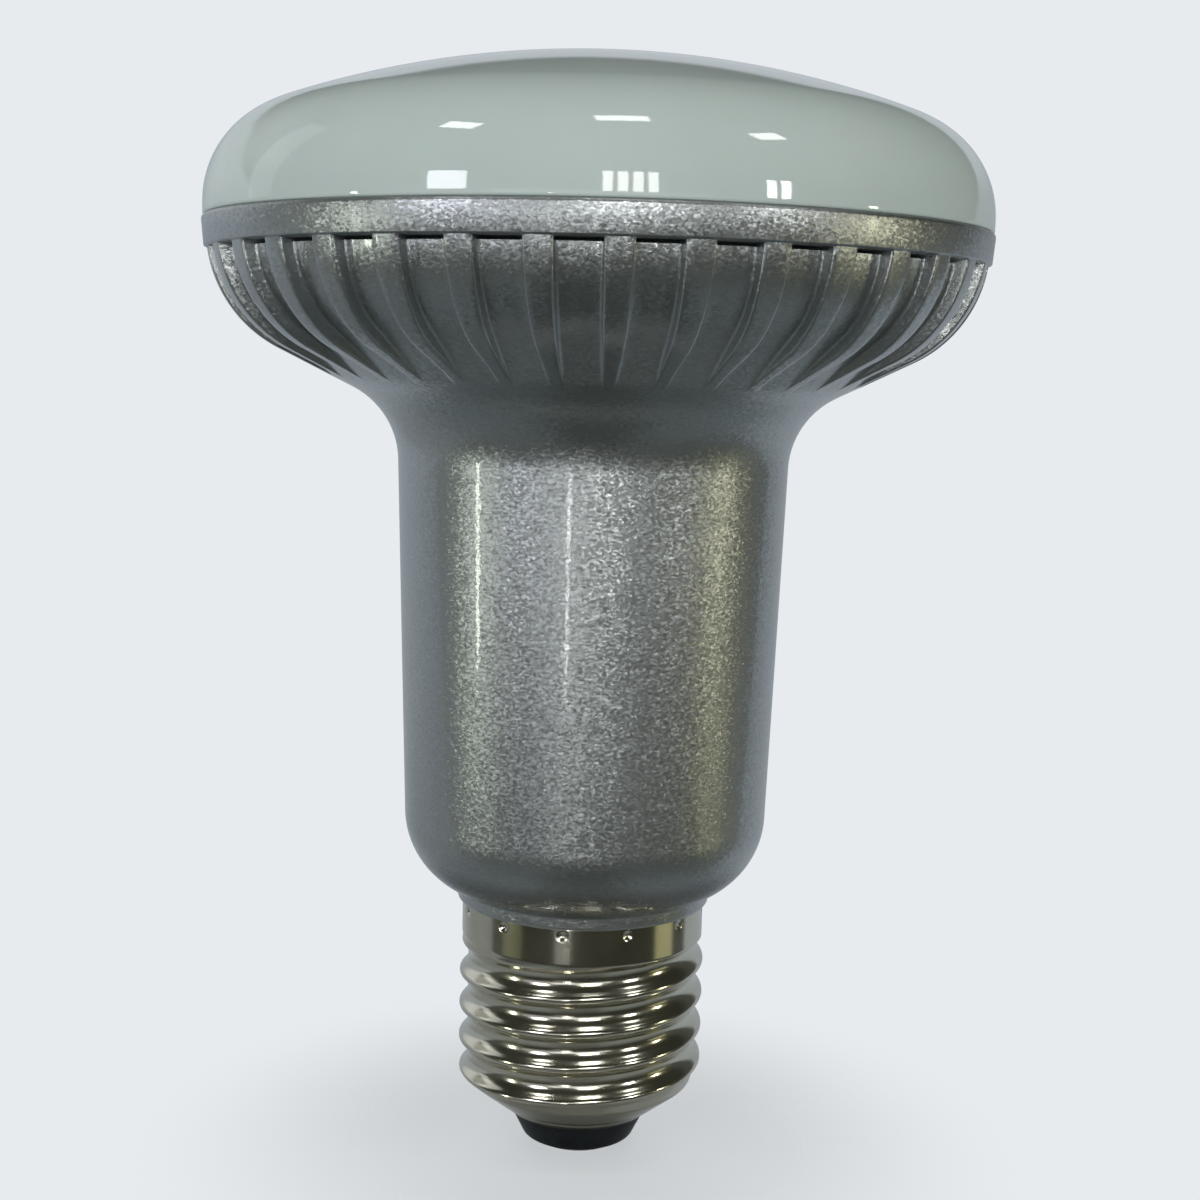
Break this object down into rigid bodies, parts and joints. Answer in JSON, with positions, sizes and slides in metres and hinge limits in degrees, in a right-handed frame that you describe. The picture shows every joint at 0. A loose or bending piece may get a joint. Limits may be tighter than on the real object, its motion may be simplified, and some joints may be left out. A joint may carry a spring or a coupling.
{
  "type": "reflector bulb",
  "caption": "Reflector lamp with a screw cap: shallow opal dome on a silver mushroom housing with a grooved rim, above a rolled metal thread and a black insulator.",
  "frame": {"origin": "lowest point of the lamp, the middle of the centre contact's flat face, on the lamp's axis", "axes": "+Z along the lamp's axis from the cap to the dome, -Y towards the viewer of the picture, +X to the viewer's right"},
  "size_m": [0.08, 0.08, 0.1143],
  "materials": {
    "opal_diffuser": "glossy opal",
    "silver_housing": "silver metallic paint under clear coat",
    "nickel_shell": "bright nickel plate",
    "black_insulator": "satin black",
    "contact_metal": "plain plated metal"
  },
  "bodies": {
    "root": {"diffuser": "opal_diffuser", "housing": "silver_housing", "screw_shell": "nickel_shell", "insulator": "black_insulator", "centre_contact": "contact_metal"}
  },
  "joints": []
}
